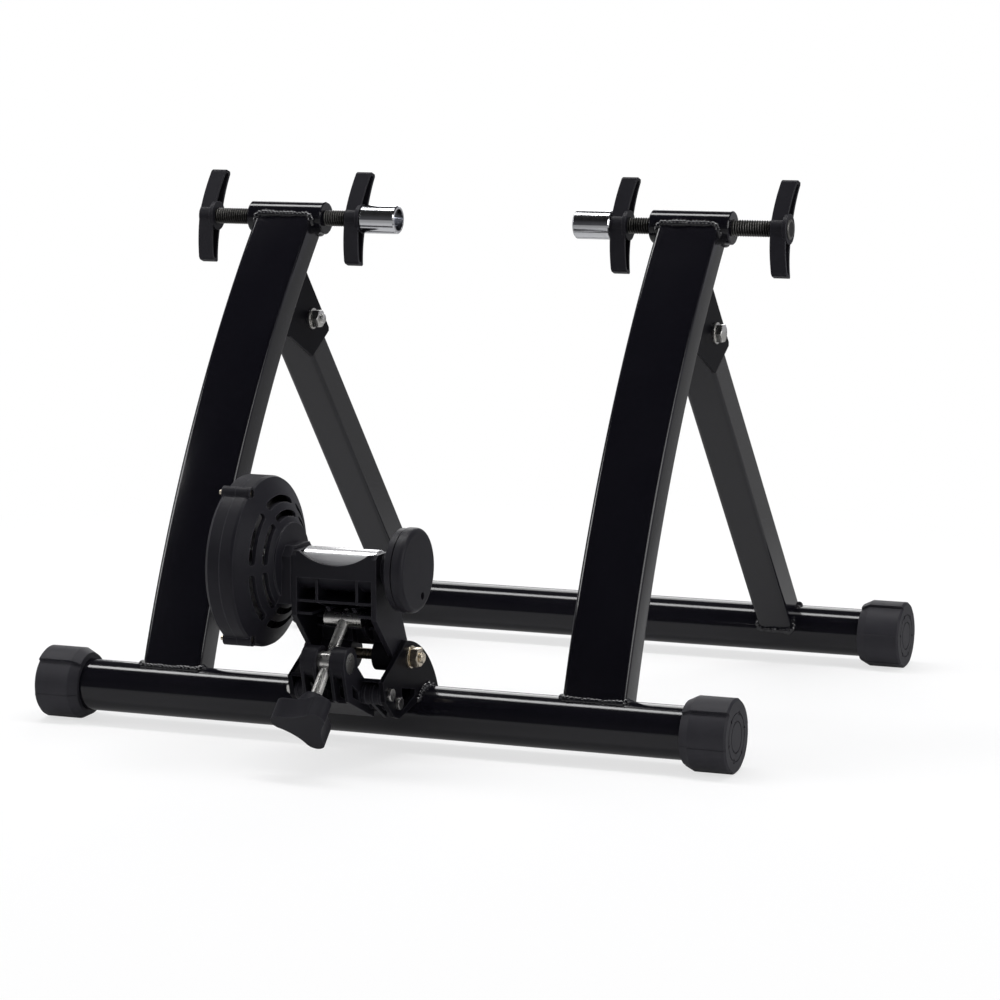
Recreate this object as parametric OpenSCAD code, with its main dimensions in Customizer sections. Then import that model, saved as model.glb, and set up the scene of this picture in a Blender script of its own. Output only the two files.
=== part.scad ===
// Folding wheel-on bike trainer with a magnetic roller unit.
// Millimetres. X runs to the right, Y to the rear and Z up.
// The origin lies on the floor under the middle of the bounding box.

/* [Frame] */
// Width of each base over its rubber feet
base_w = 543.6; // [500:0.1:600]
// Distance between the axes of the two base tubes
base_gap = 430; // [410:1:450]
// Outside diameter of the base tubes
base_tube_d = 38.1; // [32:0.1:42]
// Height of the base tube axes above the floor
axis_h = 26; // [24:0.5:30]
// Distance from the middle plane to the middle of each leg
leg_x = 167.2; // [150:0.1:185]
// Width of the curved front legs
front_leg_w = 48; // [36:1:52]
// Depth of the curved front legs
front_leg_t = 25.4; // [20:0.1:30]
// Width of the straight rear legs
rear_leg_w = 28.7; // [24:0.1:32]
// Depth of the straight rear legs
rear_leg_t = 27.4; // [22:0.1:30]
// Wall of the steel tubes
tube_wall = 1.8; // [1.2:0.1:2.5]

/* [Axle clamps] */
// Outside diameter of the welded clamp tubes
clamp_d = 25.4; // [22:0.1:28]
// Diameter of the threaded spindles
spindle_d = 12.7; // [10:0.1:14]
// Outside diameter of the chromed axle cups
cup_d = 22; // [20:0.5:24]
// Diameter of the cup bore that takes the axle nut
cup_bore_d = 17; // [15:0.5:18]
// Length of a winged handle from tip to tip
handle_span = 74; // [60:1:84]

/* [Roller unit] */
// Diameter of the roller
roller_d = 25.4; // [22:0.1:30]
// Outer radius of the brake housing
brake_r = 61; // [55:0.5:65]
// Radius of the flywheel
flywheel_r = 30; // [26:0.5:32]
// Number of vent slots in each ring
vent_count = 6; // [4:1:8]
// Number of magnets on the plate
magnet_count = 8; // [6:1:10]
// Number of lobes on the tension knob
knob_lobes = 3; // [3:1:4]

/* [Hidden] */
$fn = 48;

// Colours of the preview
black_paint = [0.10, 0.10, 0.11];
black_plastic = [0.14, 0.14, 0.15];
black_rubber = [0.08, 0.08, 0.08];
bright = [0.82, 0.83, 0.85];
dark_steel = [0.45, 0.43, 0.40];

// Clearances
run = 0.07;
seat = 0.01;
side_gap = 0.5;

// The box reaches from the knob to the rear feet, and this puts its middle on the origin
front_y = -158.22;
function yz(y, z) = [front_y + y, z];

// Axes seen from the side
front_axis = yz(0, axis_h);
rear_axis = yz(base_gap, axis_h);
clamp_axis = yz(202.4, 366.6);
fold_axis = yz(203.5, 287.5);
roller_axis = yz(-59, 138.6);
tilt_axis = yz(-28.6, 71);
trunnion_axis = yz(-86, 74.5);
upper_axis = yz(-58, 101);
cradle_axis = yz(-64.5, 50);
cradle_back_axis = yz(-50.2, 41.5);

base_tube_r = base_tube_d / 2;
clamp_r = clamp_d / 2;
spindle_r = spindle_d / 2;

// A cylinder along X from x0 to x1, centred on the point c of the side view
module rod_x(x0, x1, r, c) {
    translate([x0, c[0], c[1]])
        rotate([0, 90, 0])
            cylinder(h = x1 - x0, r = r);
}

// Extrudes an outline of the side view, drawn as Y and Z, from x0 to x1
module plate_x(x0, x1) {
    translate([x0, 0, 0])
        rotate([90, 0, 90])
            linear_extrude(x1 - x0)
                children();
}

// Turns a profile of radius and X about an axis of the side view
module turn_x(c, angle = 360) {
    translate([0, c[0], c[1]])
        rotate([90, 0, 90])
            rotate_extrude(angle = angle)
                children();
}

// A rectangle with round corners that stay true arcs
module round_rect(w, h, r) {
    square([w - 2 * r, h], center = true);
    square([w, h - 2 * r], center = true);
    for (sx = [-1, 1])
        for (sy = [-1, 1])
            translate([sx * (w / 2 - r), sy * (h / 2 - r)])
                circle(r = r);
}

// A rectangle whose corners are turned in two flats
module soft_rect(w, h, r) {
    polygon([for (quarter = [0 : 3]) for (a = [0, 45, 90])
        let (turn = a + 90 * quarter, sx = [1, -1, -1, 1][quarter], sy = [1, 1, -1, -1][quarter])
        [sx * (w / 2 - r) + r * cos(turn), sy * (h / 2 - r) + r * sin(turn)]]);
}

// A washer or ring along X
module ring_x(x0, x1, r_out, r_in, c) {
    difference() {
        rod_x(x0, x1, r_out, c);
        rod_x(x0 - 1, x1 + 1, r_in, c);
    }
}

// A hexagon along X, measured across its flats
module hex_x(x0, x1, flats, c) {
    translate([x0, c[0], c[1]])
        rotate([0, 90, 0])
            cylinder(h = x1 - x0, d = flats / cos(30), $fn = 6);
}

// Feet

foot_len = 35;
foot_wall = 6;
foot_end_x = base_w / 2;
foot_in_x = foot_end_x - foot_len;
foot_lead = 7;
foot_lead_drop = 3.4;
foot_edge = 1.4;
foot_sectors = 6;
foot_sector = 360 / foot_sectors;
// Radii of the cam sectors, each one step higher than the one before, with the third on the floor
foot_step = 0.4;
function foot_r(k) = axis_h + (k - 2) * foot_step;
foot_groove_r = 17;
foot_centre_r = 11;
foot_groove_w = 0.9;
foot_groove_depth = 0.7;
foot_notches = 6;
foot_notch_len = 3;

// Space outside one sector of the cam, from just before the sector to its end
module foot_sector_cut(k) {
    r = foot_r(k);
    overlap = 0.6;
    intersection() {
        rotate_extrude()
            polygon([[r - foot_lead_drop, -1], [r - foot_lead_drop, 0], [r, foot_lead],
                [r, foot_len - foot_edge], [r - foot_edge, foot_len], [r - foot_edge, foot_len + 1],
                [2 * axis_h, foot_len + 1], [2 * axis_h, -1]]);
        rotate([0, 0, k * foot_sector - overlap])
            translate([0, 0, -2])
                linear_extrude(foot_len + 4)
                    polygon([[0, 0], [3 * axis_h, 0], 3 * axis_h * [cos(foot_sector / 2), 0.7],
                        3 * axis_h * [cos(foot_sector + overlap), sin(foot_sector + overlap)]]);
    }
}

// Rubber foot with its tube socket, drawn upwards from the tube side
module foot_shape(turned) {
    top = foot_r(foot_sectors - 1);
    difference() {
        rotate_extrude()
            polygon([[0, 0], [top - foot_lead_drop, 0], [top, foot_lead],
                [top, foot_len - foot_edge], [top - foot_edge, foot_len], [0, foot_len]]);
        rotate([0, 0, turned])
            for (k = [0 : foot_sectors - 2])
                foot_sector_cut(k);
        translate([0, 0, -1])
            cylinder(h = foot_len - foot_wall + 1, r = base_tube_r + run);
        for (r = [foot_centre_r, foot_groove_r])
            translate([0, 0, foot_len - foot_groove_depth])
                difference() {
                    cylinder(h = 2, r = r + foot_groove_w / 2);
                    translate([0, 0, -1])
                        cylinder(h = 4, r = r - foot_groove_w / 2);
                }
        for (k = [0 : foot_notches - 1])
            rotate([0, 0, turned + k * foot_sector])
                translate([foot_groove_r - foot_notch_len / 2, -foot_groove_w, foot_len - foot_groove_depth])
                    cube([foot_notch_len, 2 * foot_groove_w, 2]);
    }
}

// Foot on the right end of a base, with the first sector starting at the given angle
module foot(side, c, turned) {
    color(black_rubber)
        mirror([side < 0 ? 1 : 0, 0, 0])
            translate([foot_in_x, c[0], c[1]])
                rotate([90, 0, 90])
                    foot_shape(turned);
}

// Base tubes and legs

crossbar_end_x = foot_end_x - foot_wall - 0.5;
crossbar_wall = 1.6;

module crossbar(c) {
    color(black_paint)
        ring_x(-crossbar_end_x, crossbar_end_x, base_tube_r, base_tube_r - crossbar_wall, c);
}

// The front legs follow one arc from the base tube up to the clamp tube
arc_centre = yz(928.2, -295.5);
arc_r = 981;
arc_back_r = arc_r - front_leg_t / 2;
arc_from = atan2(front_axis[1] - arc_centre[1], arc_centre[0] - front_axis[0]);
arc_to = atan2(clamp_axis[1] - arc_centre[1], arc_centre[0] - clamp_axis[0]) - 0.25;
front_leg_corner = 3.5;

// A bar of the given section bent along the arc of the front legs
module arc_bar(w, t, r) {
    translate([0, arc_centre[0], arc_centre[1]])
        rotate([90, 0, -90])
            rotate([0, 0, arc_from])
                rotate_extrude(angle = arc_to - arc_from, $fn = 360)
                    translate([arc_r, 0])
                        soft_rect(t, w, r);
}

module front_leg(side) {
    color(black_paint)
        translate([side * leg_x, 0, 0])
            difference() {
                arc_bar(front_leg_w, front_leg_t, front_leg_corner);
                arc_bar(front_leg_w - 2 * tube_wall, front_leg_t - 2 * tube_wall,
                    front_leg_corner - tube_wall);
                rod_x(-front_leg_w, front_leg_w, base_tube_r, front_axis);
                rod_x(-front_leg_w, front_leg_w, clamp_r, clamp_axis);
            }
}

clamp_in_x = 135.6;
clamp_out_x = 199;
clamp_edge = 0.8;

module clamp_tube(side) {
    color(black_paint)
        mirror([side < 0 ? 1 : 0, 0, 0])
            turn_x(clamp_axis)
                polygon([[spindle_r + run, clamp_in_x], [clamp_r - clamp_edge, clamp_in_x],
                    [clamp_r, clamp_in_x + clamp_edge], [clamp_r, clamp_out_x - clamp_edge],
                    [clamp_r - clamp_edge, clamp_out_x], [spindle_r + run, clamp_out_x]]);
}

// The rear legs run straight from the fold axis to the rear base tube
rear_reach = [rear_axis[0] - fold_axis[0], rear_axis[1] - fold_axis[1]];
rear_leg_len = norm(rear_reach);
rear_leg_angle = atan2(rear_reach[1], rear_reach[0]);
rear_leg_corner = 3;
bush_r = 8;
bolt_r = 4;

// The side view turned so that local X runs down the rear leg from the fold axis
module along_rear_leg() {
    translate(fold_axis)
        rotate(rear_leg_angle)
            children();
}

// A square tube laid along the rear leg, starting at the given distance from the fold axis
module rear_tube(from, w, t, r) {
    translate([0, fold_axis[0], fold_axis[1]])
        rotate([rear_leg_angle, 0, 0])
            translate([0, from, 0])
                rotate([-90, 0, 0])
                    linear_extrude(rear_leg_len - from)
                        round_rect(w, t, r, $fn = 24);
}

module rear_leg(side) {
    color(black_paint)
        translate([side * leg_x, 0, 0])
            difference() {
                intersection() {
                    rear_tube(-rear_leg_t / 2, rear_leg_w, rear_leg_t, rear_leg_corner);
                    plate_x(-rear_leg_w, rear_leg_w)
                        along_rear_leg() {
                            circle(d = rear_leg_t);
                            translate([0, -rear_leg_t])
                                square([rear_leg_len, 2 * rear_leg_t]);
                        }
                }
                rear_tube(-rear_leg_t, rear_leg_w - 2 * tube_wall, rear_leg_t - 2 * tube_wall,
                    rear_leg_corner - tube_wall);
                rod_x(-rear_leg_w, rear_leg_w, base_tube_r, rear_axis);
                rod_x(-rear_leg_w, rear_leg_w, bush_r + seat, fold_axis);
            }
}

module fold_bushes() {
    color(dark_steel)
        for (side = [-1, 1])
            translate([side * leg_x, 0, 0])
                ring_x(-rear_leg_w / 2, rear_leg_w / 2, bush_r, bolt_r + run, fold_axis);
}

// Fold brackets

fold_plate_t = 3;
fold_in_x = rear_leg_w / 2 + side_gap;
fold_out_x = fold_in_x + fold_plate_t;
fold_web_gap = 0.6;
fold_top = rear_leg_t / 2 + fold_web_gap + fold_plate_t;

// Cheek outline in the frame of the rear leg, reaching into the front leg before it is trimmed
fold_cheek = [[-70, fold_top], [27.6, fold_top], [29.6, fold_top - 2], [23.3, -18.9],
    [-15.9, -35.9], [-34, -52]];

module fold_trim() {
    intersection() {
        translate(arc_centre)
            circle(r = arc_back_r, $fn = 360);
        along_rear_leg()
            children();
    }
}

module fold_bracket(side) {
    color(black_paint)
        translate([side * leg_x, 0, 0])
            difference() {
                union() {
                    plate_x(-fold_out_x, -fold_in_x)
                        fold_trim()
                            polygon(fold_cheek);
                    plate_x(fold_in_x, fold_out_x)
                        fold_trim()
                            polygon(fold_cheek);
                    plate_x(-fold_out_x, fold_out_x)
                        fold_trim()
                            translate([-70, fold_top - fold_plate_t])
                                square([97.6, fold_plate_t]);
                }
                rod_x(-front_leg_w, front_leg_w, bolt_r + seat, fold_axis);
            }
}

// Fold bolts with their heads outwards, washers and nuts

washer_t = 1.6;
washer_r = 8.2;
bolt_flats = 13;
bolt_head_h = 5.4;
nut_h = 6.6;
bolt_tip = 2.5;
fold_head_x = fold_out_x + washer_t;

module fold_bolts() {
    color(bright)
        for (side = [-1, 1])
            mirror([side < 0 ? 1 : 0, 0, 0])
                translate([leg_x, 0, 0]) {
                    hex_x(fold_head_x, fold_head_x + bolt_head_h, bolt_flats, fold_axis);
                    rod_x(-fold_head_x - nut_h - bolt_tip, fold_head_x, bolt_r, fold_axis);
                }
}

module hex_nut(x0, c) {
    difference() {
        hex_x(x0, x0 + nut_h, bolt_flats, c);
        rod_x(x0 - 1, x0 + nut_h + 1, bolt_r + seat, c);
    }
}

module fold_nuts() {
    color(bright)
        for (side = [-1, 1])
            mirror([side < 0 ? 1 : 0, 0, 0])
                translate([leg_x, 0, 0])
                    hex_nut(-fold_head_x - nut_h, fold_axis);
}

module fold_washers() {
    color(bright)
        for (side = [-1, 1])
            translate([side * leg_x, 0, 0])
                for (x = [-fold_head_x, fold_out_x])
                    ring_x(x, x + washer_t, washer_r, bolt_r + seat, fold_axis);
}

// Unit bracket, a bent and welded steel carrier for the roller unit

ear_in_x = 33.5;
ear_t = 3.5;
ear_out_x = ear_in_x + ear_t;
ear_round_r = 70.2;
ear_round_c = yz(-43.6, 14);
ear_front = yz(-75.6, 60.5);
ear_point = yz(-47.6, 29.8);
base_plate_t = 2.5;
base_plate_notch = 20;
base_plate_end = yz(8, 42.6);

// The ear above the base plate and the gusset below it, in one plate
module ear_outline() {
    intersection() {
        translate(ear_round_c)
            circle(r = ear_round_r, $fn = 96);
        polygon([ear_front, yz(-41, 79.3), yz(-34, 84), yz(0, 90), yz(40, 60), yz(24, 36),
            yz(19, 28), yz(0, axis_h), yz(-17, 36), ear_point, yz(-56, 32.5), yz(-71.5, 46)]);
    }
}

module ear_window() {
    polygon([yz(-43.5, 51), yz(-20, 46.2), yz(-21, 41.5), yz(-42, 35)]);
}

module base_plate_outline() {
    start = ear_front + [0.8, -0.2];
    polygon([start, base_plate_end, base_plate_end + [0, base_plate_t], start + [0, base_plate_t]]);
}

module unit_bracket() {
    color(black_paint)
        difference() {
            union() {
                for (x = [-ear_out_x, ear_in_x])
                    plate_x(x, x + ear_t)
                        difference() {
                            ear_outline();
                            ear_window();
                        }
                plate_x(-ear_in_x - 1, ear_in_x + 1)
                    base_plate_outline();
            }
            translate([-base_plate_notch, front_y - 80, 46])
                cube([2 * base_plate_notch, 34, 20]);
            rod_x(-60, 60, base_tube_r, front_axis);
            rod_x(-60, 60, bolt_r + seat, tilt_axis);
            rod_x(-60, 60, cradle_screw_r + seat, cradle_axis);
            rod_x(-60, 60, cradle_screw_r + seat, cradle_back_axis);
        }
}

// Cradle, the ribbed moulding that holds the trunnion of the tension screw

cradle_screw_r = 2.5;
cradle_end_x = ear_in_x - 0.3;
trunnion_r = 7.5;
trunnion_end_x = 16.6;
cradle_ear_r = 11.2;
cradle_ear_in = 5.2;
cradle_ear_out = 17;
cradle_rib_t = 2.2;
cradle_barrel_r = 7.4;
cradle_back_r = 5.6;
cradle_ring_r = 7.95;
cradle_front_low = yz(-86, 46);

// Fan shaped side of the cradle from the trunnion ear down to its two screw barrels
module cradle_fan() {
    difference() {
        polygon([yz(-97, 72), yz(-90, 48), cradle_front_low, ear_point, yz(-44.6, 40), yz(-49, 48),
            yz(-58, 55.5), yz(-75.4, 71)]);
        polygon([yz(-84, 59), yz(-82.5, 50), yz(-72, 45.5), yz(-73, 52)]);
    }
}

// Thin lower skin that ties the fans together
module cradle_skin() {
    polygon([cradle_front_low, ear_point, yz(-47, 31.8), yz(-85.3, 48)]);
}

module cradle() {
    color(black_plastic)
        difference() {
            union() {
                for (x = [-cradle_ear_out, cradle_ear_in])
                    rod_x(x, x + cradle_ear_out - cradle_ear_in, cradle_ear_r, trunnion_axis);
                for (x = [-cradle_ear_out, -cradle_ear_in - cradle_rib_t, cradle_ear_in,
                        cradle_ear_out - cradle_rib_t])
                    plate_x(x, x + cradle_rib_t)
                        cradle_fan();
                rod_x(-cradle_end_x, cradle_end_x, cradle_barrel_r, cradle_axis);
                rod_x(-cradle_end_x, cradle_end_x, cradle_back_r, cradle_back_axis);
                for (side = [-1, 1])
                    for (x = [20, 26, 32.1])
                        rod_x(side * x - 1.1, side * x + 1.1, cradle_ring_r, cradle_axis);
                plate_x(-cradle_ear_out, cradle_ear_out)
                    cradle_skin();
                for (side = [-1, 1])
                    plate_x(side * 26 - 1.1, side * 26 + 1.1)
                        polygon([cradle_axis, yz(-70, 44), ear_point, yz(-45, 38), cradle_back_axis]);
            }
            rod_x(-cradle_ear_out - 1, cradle_ear_out + 1, trunnion_r + run, trunnion_axis);
            rod_x(-60, 60, cradle_screw_r + seat, cradle_axis);
            rod_x(-60, 60, cradle_screw_r + seat, cradle_back_axis);
        }
}

cradle_head_r = 4.4;
cradle_head_h = 2.6;

module cradle_screws() {
    color(bright)
        for (c = [cradle_axis, cradle_back_axis]) {
            rod_x(ear_out_x, ear_out_x + cradle_head_h, cradle_head_r, c);
            rod_x(-ear_out_x - 5, ear_out_x, cradle_screw_r, c);
        }
}

module cradle_nuts() {
    color(bright)
        for (c = [cradle_axis, cradle_back_axis])
            difference() {
                hex_x(-ear_out_x - 4, -ear_out_x, 8, c);
                rod_x(-ear_out_x - 6, -ear_out_x + 1, cradle_screw_r + seat, c);
            }
}

// Pivot bolt of the roller unit, with its nut on the right

pivot_washer_r = 8;
pivot_face_x = ear_out_x + washer_t;

module pivot_bolt() {
    color(bright) {
        hex_x(-pivot_face_x - bolt_head_h, -pivot_face_x, bolt_flats, tilt_axis);
        rod_x(-pivot_face_x, pivot_face_x + nut_h + bolt_tip, bolt_r, tilt_axis);
    }
}

module pivot_nut() {
    color(bright)
        hex_nut(pivot_face_x, tilt_axis);
}

module pivot_washers() {
    color(bright)
        for (x = [-pivot_face_x, ear_out_x])
            ring_x(x, x + washer_t, pivot_washer_r, bolt_r + seat, tilt_axis);
}

// Axle clamps

cup_in_x = 74;
cup_out_x = 103.6;
cup_bore_depth = 17;
cup_edge = 1;
journal_r = 5;
journal_in_x = 94;
lock_in_x = 103.9;
handle_depth = 13;
outer_in_x = 230;
// The left spindle ends inside its closed handle, the right one comes through to a nut
function spindle_out_x(side) = side > 0 ? 242.4 : 240.5;

module axle_cup(side) {
    color(bright)
        mirror([side < 0 ? 1 : 0, 0, 0])
            turn_x(clamp_axis)
                polygon([[cup_bore_d / 2, cup_in_x], [cup_d / 2 - cup_edge, cup_in_x],
                    [cup_d / 2, cup_in_x + cup_edge], [cup_d / 2, cup_out_x - cup_edge],
                    [cup_d / 2 - cup_edge, cup_out_x], [journal_r + run, cup_out_x],
                    [journal_r + run, journal_in_x - 0.4], [0, journal_in_x - 0.4],
                    [0, cup_in_x + cup_bore_depth], [cup_bore_d / 2, cup_in_x + cup_bore_depth]]);
}

module spindle(side) {
    color(dark_steel)
        mirror([side < 0 ? 1 : 0, 0, 0])
            turn_x(clamp_axis)
                polygon([[0, journal_in_x], [journal_r, journal_in_x], [journal_r, lock_in_x],
                    [spindle_r, lock_in_x], [spindle_r, spindle_out_x(side) - 1],
                    [spindle_r - 1, spindle_out_x(side)], [0, spindle_out_x(side)]]);
}

// Winged handle, drawn with its axis along X, its closed back at zero and its hollow towards +X
handle_sweep_r = 173;
handle_wall = 1.9;
handle_boss_r = 8.7;
handle_flange_r = 11.4;
handle_flange_t = 3;
handle_lean = 19;
handle_half = handle_span / 2;
handle_tip_half = 4.6;
handle_root_half = 7.6;
wing_depth = handle_depth - 1;

module wing_outline(inset) {
    tip = handle_tip_half - inset;
    root = handle_root_half - inset;
    end = handle_half - inset;
    corner = 1.6;
    polygon([[-tip, end - corner], [-tip + corner, end], [tip - corner, end], [tip, end - corner],
        [root, 0], [tip, corner - end], [tip - corner, -end], [corner - tip, -end],
        [-tip, corner - end], [-root, 0]]);
}

// The wings are a straight outline cut by a curved slab, so both tips sweep towards +X
module wing_slab(inset, from_depth, to_depth) {
    intersection() {
        plate_x(-1, handle_depth + 8)
            wing_outline(inset);
        translate([handle_sweep_r + wing_depth, 0, 0])
            rotate([90, 0, 0])
                difference() {
                    cylinder(h = 60, r = handle_sweep_r + wing_depth - from_depth, center = true,
                        $fn = 180);
                    cylinder(h = 62, r = handle_sweep_r + wing_depth - to_depth, center = true,
                        $fn = 180);
                }
    }
}

module handle_shape(bore_from, bore_to, bore_r) {
    difference() {
        union() {
            difference() {
                wing_slab(0, 0, wing_depth);
                wing_slab(handle_wall, handle_wall, wing_depth + 4);
            }
            rod_x(0, handle_depth, handle_boss_r, [0, 0]);
            rod_x(handle_depth - handle_flange_t, handle_depth, handle_flange_r, [0, 0]);
        }
        rod_x(bore_from, bore_to, bore_r, [0, 0]);
    }
}

// A handle set on the clamp axis with its closed back at the given X
module handle_at(x) {
    color(black_plastic)
        translate([x, clamp_axis[0], clamp_axis[1]])
            rotate([-handle_lean, 0, 0])
                children();
}

module lock_handle(side) {
    handle_at(side > 0 ? lock_in_x : -lock_in_x - handle_depth)
        handle_shape(-1, handle_depth + 1, spindle_r + run);
}

module outer_handle(side) {
    handle_at(side > 0 ? outer_in_x : -outer_in_x - handle_depth)
        if (side > 0)
            difference() {
                handle_shape(-1, handle_depth + 1, spindle_r + seat);
                rod_x(handle_depth - handle_nut_h + 1, handle_depth + 1, handle_nut_r + seat, [0, 0]);
            }
        else
            handle_shape(handle_depth - (spindle_out_x(side) - outer_in_x) - 0.2, handle_depth + 1,
                spindle_r + seat);
}

handle_nut_r = 7.6;
handle_nut_h = 3.4;

module handle_nut() {
    nut_x = outer_in_x + handle_depth - handle_nut_h + 1;
    color(dark_steel)
        turn_x(clamp_axis)
            polygon([[spindle_r + seat, nut_x], [handle_nut_r, nut_x],
                [handle_nut_r, nut_x + handle_nut_h - 0.6], [handle_nut_r - 0.6, nut_x + handle_nut_h],
                [0, nut_x + handle_nut_h], [0, spindle_out_x(1) + 0.2],
                [spindle_r + seat, spindle_out_x(1) + 0.2]]);
}

// Roller unit

carrier_out_x = 32.7;
carrier_in_x = 28.7;
carrier_front = -77;
carrier_top = 150;
carrier_wall = 3;
lug_r = 11;
lug_left_x = -5;
lug_right_x = 11.6;
bearing_r = 8;
bearing_in_x = 29.7;
bearing_out_x = 34.7;
housing_r = 11.3;
housing_out_x = 39.5;
roller_r = roller_d / 2;
shaft_r = 4;
trough_r = roller_r + 2.6;
scoop_r = 44;
scoop_low = 141;
wall_low = 131.5;
rib_low = 114;
rib_t = 1.8;

module carrier_side_outline() {
    polygon([yz(carrier_front, 104), yz(carrier_front, carrier_top - 3),
        yz(carrier_front + 3, carrier_top), yz(-56, carrier_top), yz(-45, 145), yz(-38, 128),
        yz(-33, 101), yz(-24, 82), yz(-17.8, 72.5), yz(-28.6, 61), yz(-36, 62.8), yz(-49, 75)]);
    translate(tilt_axis)
        circle(r = lug_r);
}

// Rear wall of the carrier, one thickness inside its rear edge
module carrier_back_outline() {
    polygon([yz(-38, 128), yz(-33, 101), yz(-26.5, 86), yz(-21.5, 78), yz(-24.8, 77.2),
        yz(-29.5, 85), yz(-36.2, 100.6), yz(-41.2, 127)]);
}

// Trough that follows the roller, between the front wall and the rear wall
module carrier_trough_outline() {
    difference() {
        translate(roller_axis)
            circle(r = trough_r + 2.4);
        translate(roller_axis)
            circle(r = trough_r);
        translate(yz(-90, wall_low + 2.4))
            square([60, 40]);
    }
    polygon([yz(carrier_front + 1, wall_low), yz(-72.4, wall_low), yz(-74.4, wall_low + 2.4),
        yz(carrier_front + 1, wall_low + 2.4)]);
    polygon([yz(-46.5, 125), yz(-41, 122), yz(-38, 128), yz(-39, 132), yz(-42.5, 133.5)]);
}

// Rib outlines between the front edge, the trough and the rear wall
module carrier_rib_area() {
    difference() {
        polygon([yz(-75.5, wall_low + 1), yz(-75.5, rib_low), yz(-56, 108), yz(-36, 108),
            yz(-40, 127.5)]);
        translate(roller_axis)
            circle(r = trough_r + 0.6);
    }
}

// Saddle plates with a half round pocket that the screw presses the upper barrel into
saddle_clear = 1.3;
saddle_cut = 30;
module saddle_outline() {
    difference() {
        polygon([yz(-70, 110), yz(-36, 110), yz(-33.5, 98), yz(-27, 85), yz(-38, 82), yz(-50, 90),
            yz(-64, 97)]);
        translate(upper_axis)
            rotate(rod_angle) {
                circle(r = upper_r + saddle_clear);
                translate([0, -saddle_cut])
                    square(2 * saddle_cut);
            }
    }
}

module roller_carrier() {
    color(black_plastic)
        difference() {
            union() {
                for (x = [-carrier_out_x, carrier_in_x])
                    plate_x(x, x + carrier_out_x - carrier_in_x)
                        carrier_side_outline();
                translate([-carrier_in_x - 0.5, front_y + carrier_front, wall_low])
                    cube([2 * carrier_in_x + 1, carrier_wall, carrier_top - wall_low]);
                plate_x(-carrier_in_x - 0.5, carrier_in_x + 0.5) {
                    carrier_trough_outline();
                    carrier_back_outline();
                }
                for (x = [-15, 16])
                    plate_x(x, x + 2)
                        carrier_rib_area();
                translate([-carrier_in_x - 0.5, front_y - 75.5, rib_low])
                    cube([2 * carrier_in_x + 1, 39, rib_t]);
                for (x = [-carrier_in_x - 0.5, 18])
                    translate([x, front_y - 75.5, 105])
                        cube([carrier_in_x + 0.5 - 18, 39, rib_t]);
                for (z = [91, 98])
                    translate([-carrier_in_x - 0.5, front_y - 43, z])
                        cube([2 * carrier_in_x + 1, 10, rib_t]);
                for (x = [-11.5, 8.5])
                    plate_x(x, x + 3)
                        saddle_outline();
                rod_x(-carrier_out_x, lug_left_x, lug_r, tilt_axis);
                rod_x(lug_right_x, carrier_out_x, lug_r, tilt_axis);
                plate_x(-carrier_in_x, lug_left_x)
                    lug_web();
                plate_x(lug_right_x, carrier_in_x)
                    lug_web();
                rod_x(carrier_out_x - 1, housing_out_x, housing_r, roller_axis);
            }
            carrier_cuts();
        }
}

// Web that joins a pivot lug to the rear wall
module lug_web() {
    polygon([yz(-33.5, 80), yz(-36.5, 92), yz(-33, 98), yz(-26.5, 86), yz(-22, 80)]);
}

module carrier_cuts() {
    translate([0, front_y + carrier_front - 1, scoop_low + scoop_r])
        rotate([-90, 0, 0])
            cylinder(h = 12, r = scoop_r, $fn = 96);
    rod_x(-60, 60, bolt_r + run, tilt_axis);
    rod_x(bearing_in_x, 60, bearing_r + seat, roller_axis);
    rod_x(-60, -bearing_in_x, bearing_r + seat, roller_axis);
    rod_x(-60, 60, shaft_r + 1.5, roller_axis);
}

module roller_bearings() {
    color(bright)
        for (x = [-bearing_out_x, bearing_in_x])
            ring_x(x, x + bearing_out_x - bearing_in_x, bearing_r, shaft_r + seat, roller_axis);
}

module roller() {
    color(bright)
        turn_x(roller_axis)
            polygon([[shaft_r + seat, -carrier_in_x + side_gap],
                [roller_r - 0.8, -carrier_in_x + side_gap],
                [roller_r, -carrier_in_x + side_gap + 0.8], [roller_r, carrier_in_x - side_gap - 0.8],
                [roller_r - 0.8, carrier_in_x - side_gap], [shaft_r + seat, carrier_in_x - side_gap]]);
}

shaft_left_x = -74;
shaft_right_x = 55;

module roller_shaft() {
    color(bright)
        rod_x(shaft_left_x, shaft_right_x, shaft_r, roller_axis);
}

// Flywheel drum with a groove, a rounded rim and a small balance hole

fly_back_x = 43;
fly_face_x = 57;
fly_groove_x = 48.6;
fly_edge = 3.5;

module flywheel() {
    r = flywheel_r;
    color(black_paint)
        difference() {
            turn_x(roller_axis) {
                polygon([[shaft_r + seat, fly_back_x - 3], [10, fly_back_x - 3], [10, fly_back_x],
                    [r - 1.6, fly_back_x], [r - 0.8, fly_back_x + 0.8], [r - 0.8, fly_groove_x - 0.5],
                    [r - 1.8, fly_groove_x - 0.5], [r - 1.8, fly_groove_x + 0.5],
                    [r, fly_groove_x + 0.5], [r, fly_face_x - fly_edge], [r - fly_edge, fly_face_x],
                    [0, fly_face_x], [0, shaft_right_x + 0.3], [shaft_r + seat, shaft_right_x + 0.3]]);
                translate([r - fly_edge, fly_face_x - fly_edge])
                    circle(r = fly_edge);
            }
            rod_x(fly_face_x - 6, fly_face_x + 1, 2.8, [roller_axis[0] + 7, roller_axis[1] - 19]);
        }
}

// Magnetic brake

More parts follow.
